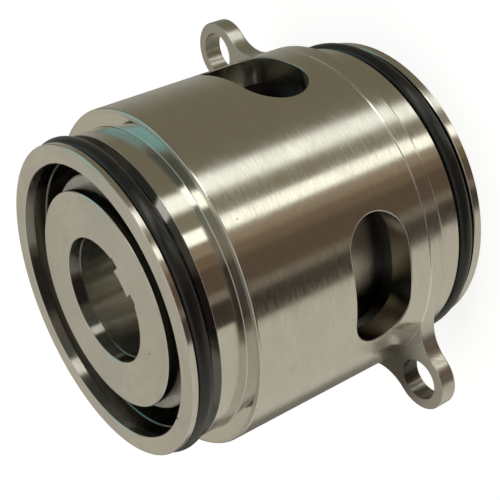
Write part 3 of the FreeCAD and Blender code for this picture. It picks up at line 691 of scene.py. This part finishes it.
def spring_tree(material):
    """Geometry nodes for a ring of coil springs with named sizes."""
    tree = bpy.data.node_groups.new("ring of springs", "GeometryNodeTree")
    tree.interface.new_socket("Geometry", in_out="OUTPUT", socket_type="NodeSocketGeometry")
    for label, default, kind in SPRING_SIZES:
        socket = tree.interface.new_socket(label, in_out="INPUT", socket_type=kind)
        socket.default_value = default
    given = tree.nodes.new("NodeGroupInput").outputs
    result = tree.nodes.new("NodeGroupOutput").inputs
    rise = maths(tree, "MULTIPLY_ADD", given["Wire radius"], -2.0, given["Length"])
    spiral = add(tree, "GeometryNodeCurveSpiral", Resolution=STEPS_PER_TURN, Rotations=given["Turns"],
                 Start_Radius=given["Coil radius"], End_Radius=given["Coil radius"], Height=rise)
    profile = add(tree, "GeometryNodeCurvePrimitiveCircle", Resolution=WIRE_SIDES,
                  Radius=given["Wire radius"])
    swept = add(tree, "GeometryNodeCurveToMesh", Curve=spiral.outputs["Curve"],
                Profile_Curve=profile.outputs["Curve"], Fill_Caps=True)
    ring = add(tree, "GeometryNodeMeshCircle", Vertices=given["Count"], Radius=given["Circle radius"])
    copies = add(tree, "GeometryNodeInstanceOnPoints", Points=ring.outputs["Mesh"],
                 Instance=swept.outputs["Mesh"])
    lift = maths(tree, "ADD", given["Foot"], given["Wire radius"])
    up = add(tree, "ShaderNodeCombineXYZ", Z=lift).outputs[0]
    moved = add(tree, "GeometryNodeTransform", Geometry=copies.outputs["Instances"], Translation=up)
    real = add(tree, "GeometryNodeRealizeInstances", Geometry=moved.outputs["Geometry"])
    smooth = add(tree, "GeometryNodeSetShadeSmooth", Geometry=real.outputs["Geometry"])
    finish = add(tree, "GeometryNodeSetMaterial", Geometry=smooth.outputs["Geometry"], Material=material)
    tree.links.new(finish.outputs["Geometry"], result["Geometry"])
    return tree


wound = spring_tree(wire)
print("tree", wound.name, "sizes", len(SPRING_SIZES))


# %% [markdown]
# The tree is run once for each ring with the foot and length of its CAD tubes, and the result is kept as a
# plain mesh. The springs stand in the carrier, on the housing.

# %% Springs in place
def plain_mesh(name, tree, **values):
    """Run a geometry node tree once and keep its result as an ordinary mesh object."""
    maker = bpy.data.objects.new(name + "_maker", bpy.data.meshes.new(name + "_maker"))
    bpy.context.scene.collection.objects.link(maker)
    modifier = maker.modifiers.new("nodes", "NODES")
    modifier.node_group = tree
    for item in tree.interface.items_tree:
        key = item.name.replace(" ", "_").lower()
        if item.in_out == "INPUT" and key in values:
            modifier[item.identifier] = values[key]
    ready = maker.evaluated_get(bpy.context.evaluated_depsgraph_get())
    made = bpy.data.objects.new(name, bpy.data.meshes.new_from_object(ready))
    made.data.name = name
    bpy.data.objects.remove(maker)
    bpy.context.scene.collection.objects.link(made)
    return made


for side, fixed in (("front", "low"), ("rear", "high")):
    low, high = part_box(side + "_springs")
    length = high.z - low.z
    coil = plain_mesh(side + "_coil_springs", wound, foot=low.z, length=length)
    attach(coil, "housing")
    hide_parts(side + "_springs")
    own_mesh(coil)
    print(coil.name, "faces", len(coil.data.polygons), "length", round(length, 4))


# %% [markdown]
# The seal stands on a plain pale floor. Seen by the camera the floor glows a little, so the page behind
# the object is white, and the object's soft shadow stays on it. Glossy rays pass the floor, so the barrel
# mirrors the tall soft boxes round it, which reach below the floor's edge.

# %% Floor
FLOOR_HALF = 6.0
FLOOR_PAINT = (0.5, 0.5, 0.5, 1.0)
FLOOR_GLOW = 0.8


def make_floor():
    """A large square that is pale for all light and a little brighter for the camera."""
    mesh = bpy.data.meshes.new("floor")
    corners = [(x * FLOOR_HALF, y * FLOOR_HALF, 0) for x, y in ((-1, -1), (1, -1), (1, 1), (-1, 1))]
    mesh.from_pydata(corners, [], [(0, 1, 2, 3)])
    floor = bpy.data.objects.new("floor", mesh)
    bpy.context.scene.collection.objects.link(floor)
    material, tree, _ = new_material("pale_floor")
    tree.nodes.clear()
    seen = tree.nodes.new("ShaderNodeLightPath").outputs["Is Camera Ray"]
    paint = add(tree, "ShaderNodeBsdfDiffuse", Color=FLOOR_PAINT)
    glow = add(tree, "ShaderNodeEmission", Color=(1.0, 1.0, 1.0, 1.0),
               Strength=maths(tree, "MULTIPLY", seen, FLOOR_GLOW))
    both = tree.nodes.new("ShaderNodeAddShader")
    tree.links.new(paint.outputs[0], both.inputs[0])
    tree.links.new(glow.outputs[0], both.inputs[1])
    add(tree, "ShaderNodeOutputMaterial", Surface=both.outputs[0])
    mesh.materials.append(material)
    floor.visible_glossy = False
    floor.visible_shadow = False
    return floor


print("stage", make_floor().name)


# %% [markdown]
# A turned barrel looks like what it mirrors, so the light is a studio built in the world: a calm warm-grey
# room, a wide pale card and two narrow soft boxes. The upright sides mirror its low part, and rounded edges
# and the faces that point up mirror its middle. Each card is a soft mask on the compass direction.

# %% Group: one soft card
HALF_CIRCLE = 180.0


def make_card_group():
    """A soft mask round one compass direction, in degrees."""
    tree, given, result = shader_group(
        "soft box", (("Compass", 0.0), ("Centre", 0.0), ("Half width", 10.0), ("Edge", 2.0)), ("Mask",))
    apart = maths(tree, "SUBTRACT", given["Compass"], given["Centre"])
    wrapped = maths(tree, "ABSOLUTE", maths(tree, "WRAP", apart, HALF_CIRCLE, -HALF_CIRCLE))
    inner = maths(tree, "SUBTRACT", given["Half width"], given["Edge"])
    outer = maths(tree, "ADD", given["Half width"], given["Edge"])
    tree.links.new(ranged(tree, wrapped, inner, outer, 1.0, 0.0), result["Mask"])
    return tree


def lay_card(tree, compass, colour, card, height=1.0):
    """Lay one card over a colour. It is (compass place, half width, edge, light), and height masks it."""
    centre, half, edge, light = card
    mask = use_group(tree, soft_card, Compass=compass, Centre=centre, Half_width=half, Edge=edge)["Mask"]
    return blend_colour(tree, maths(tree, "MULTIPLY", mask, height), colour, light)


soft_card = make_card_group()
print("group", soft_card.name)

# %% [markdown]
# A camera ray sees plain white, for the page. Glossy rays keep the studio and don't see that white: the
# barrel stands upright, so nearly every ray that it mirrors goes down past the floor, and a mirrored white
# floor would turn the whole barrel white. The photographed metal mirrors a dim room, and so does this one.

# %% World
LOW_ROOM = (0.2, 0.182, 0.13)
LOW_CARDS = (
    (60.0, 30.0, 25.0, (0.37, 0.36, 0.32)),
    (104.0, 14.0, 6.0, (0.17, 0.16, 0.135)),
    (150.0, 32.0, 5.0, (0.58, 0.56, 0.49)),
    (185.0, 19.8, 1.2, (0.58, 0.56, 0.49)),
    (213.5, 9.0, 1.2, (0.055, 0.043, 0.034)),
    (226.3, 2.9, 1.3, (0.24, 0.21, 0.165)),
    (238.5, 9.3, 1.5, (0.12, 0.085, 0.06)),
    (251.8, 4.0, 1.0, (0.19, 0.136, 0.087)),
    (259.8, 4.2, 1.0, (0.32, 0.25, 0.175)),
    (270.1, 4.9, 1.5, (1.6, 1.63, 1.5)),
    (282.0, 7.0, 1.0, (0.25, 0.225, 0.16)),
    (296.7, 6.8, 3.2, (1.38, 1.41, 1.34)),
)
MIDDLE_ROOM = (0.2, 0.18, 0.15)
MIDDLE_CARDS = (
    (72.0, 32.0, 6.0, (0.52, 0.497, 0.43)),
    (106.0, 8.0, 4.0, (0.3, 0.28, 0.25)),
    (152.5, 36.0, 5.0, (0.6, 0.61, 0.57)),
    (222.0, 24.0, 4.0, (0.056, 0.049, 0.048)),
    (262.0, 10.0, 4.0, (0.28, 0.27, 0.24)),
    (281.0, 9.0, 4.0, (0.23, 0.26, 0.23)),
    (297.0, 7.5, 2.0, (2.7, 2.8, 2.78)),
    (322.0, 17.0, 3.0, (0.12, 0.137, 0.126)),
)
TEAL_CARD = (13.0, 24.0, 8.0, (0.33, 0.63, 0.68))
CEILING = (0.62, 0.6, 0.55)
# How far up a ray points, from -1 straight down to 1 straight up, where one part gives way to the next.
LOW_TO_MIDDLE = (-0.12, 0.12)
TEAL_ABOVE = (0.25, 0.4)
MIDDLE_TO_CEILING = (0.62, 0.85)


def make_world():
    """The studio for diffuse and glossy rays, and plain white for the camera."""
    world = bpy.data.worlds.new("studio")
    bpy.context.scene.world = world
    world.use_nodes = True
    tree = world.node_tree
    tree.nodes.clear()
    place = tree.nodes.new("ShaderNodeTexCoord").outputs["Generated"]
    parts = add(tree, "ShaderNodeSeparateXYZ", Vector=place).outputs
    compass = maths(tree, "DEGREES", maths(tree, "ARCTAN2", parts["Y"], parts["X"]))
    low = LOW_ROOM
    for card in LOW_CARDS:
        low = lay_card(tree, compass, low, card)
    middle = MIDDLE_ROOM
    for card in MIDDLE_CARDS:
        middle = lay_card(tree, compass, middle, card)
    colour = blend_colour(tree, ranged(tree, parts["Z"], *LOW_TO_MIDDLE), low, middle)
    colour = lay_card(tree, compass, colour, TEAL_CARD, ranged(tree, parts["Z"], *TEAL_ABOVE))
    colour = blend_colour(tree, ranged(tree, parts["Z"], *MIDDLE_TO_CEILING), colour, CEILING)
    seen = tree.nodes.new("ShaderNodeLightPath").outputs["Is Camera Ray"]
    colour = blend_colour(tree, seen, colour, (1.0, 1.0, 1.0))
    background = add(tree, "ShaderNodeBackground", Color=colour, Strength=1.0)
    add(tree, "ShaderNodeOutputWorld", Surface=background.outputs[0])
    return world


print("world", make_world().name, "cards", len(LOW_CARDS) + len(MIDDLE_CARDS) + 1)
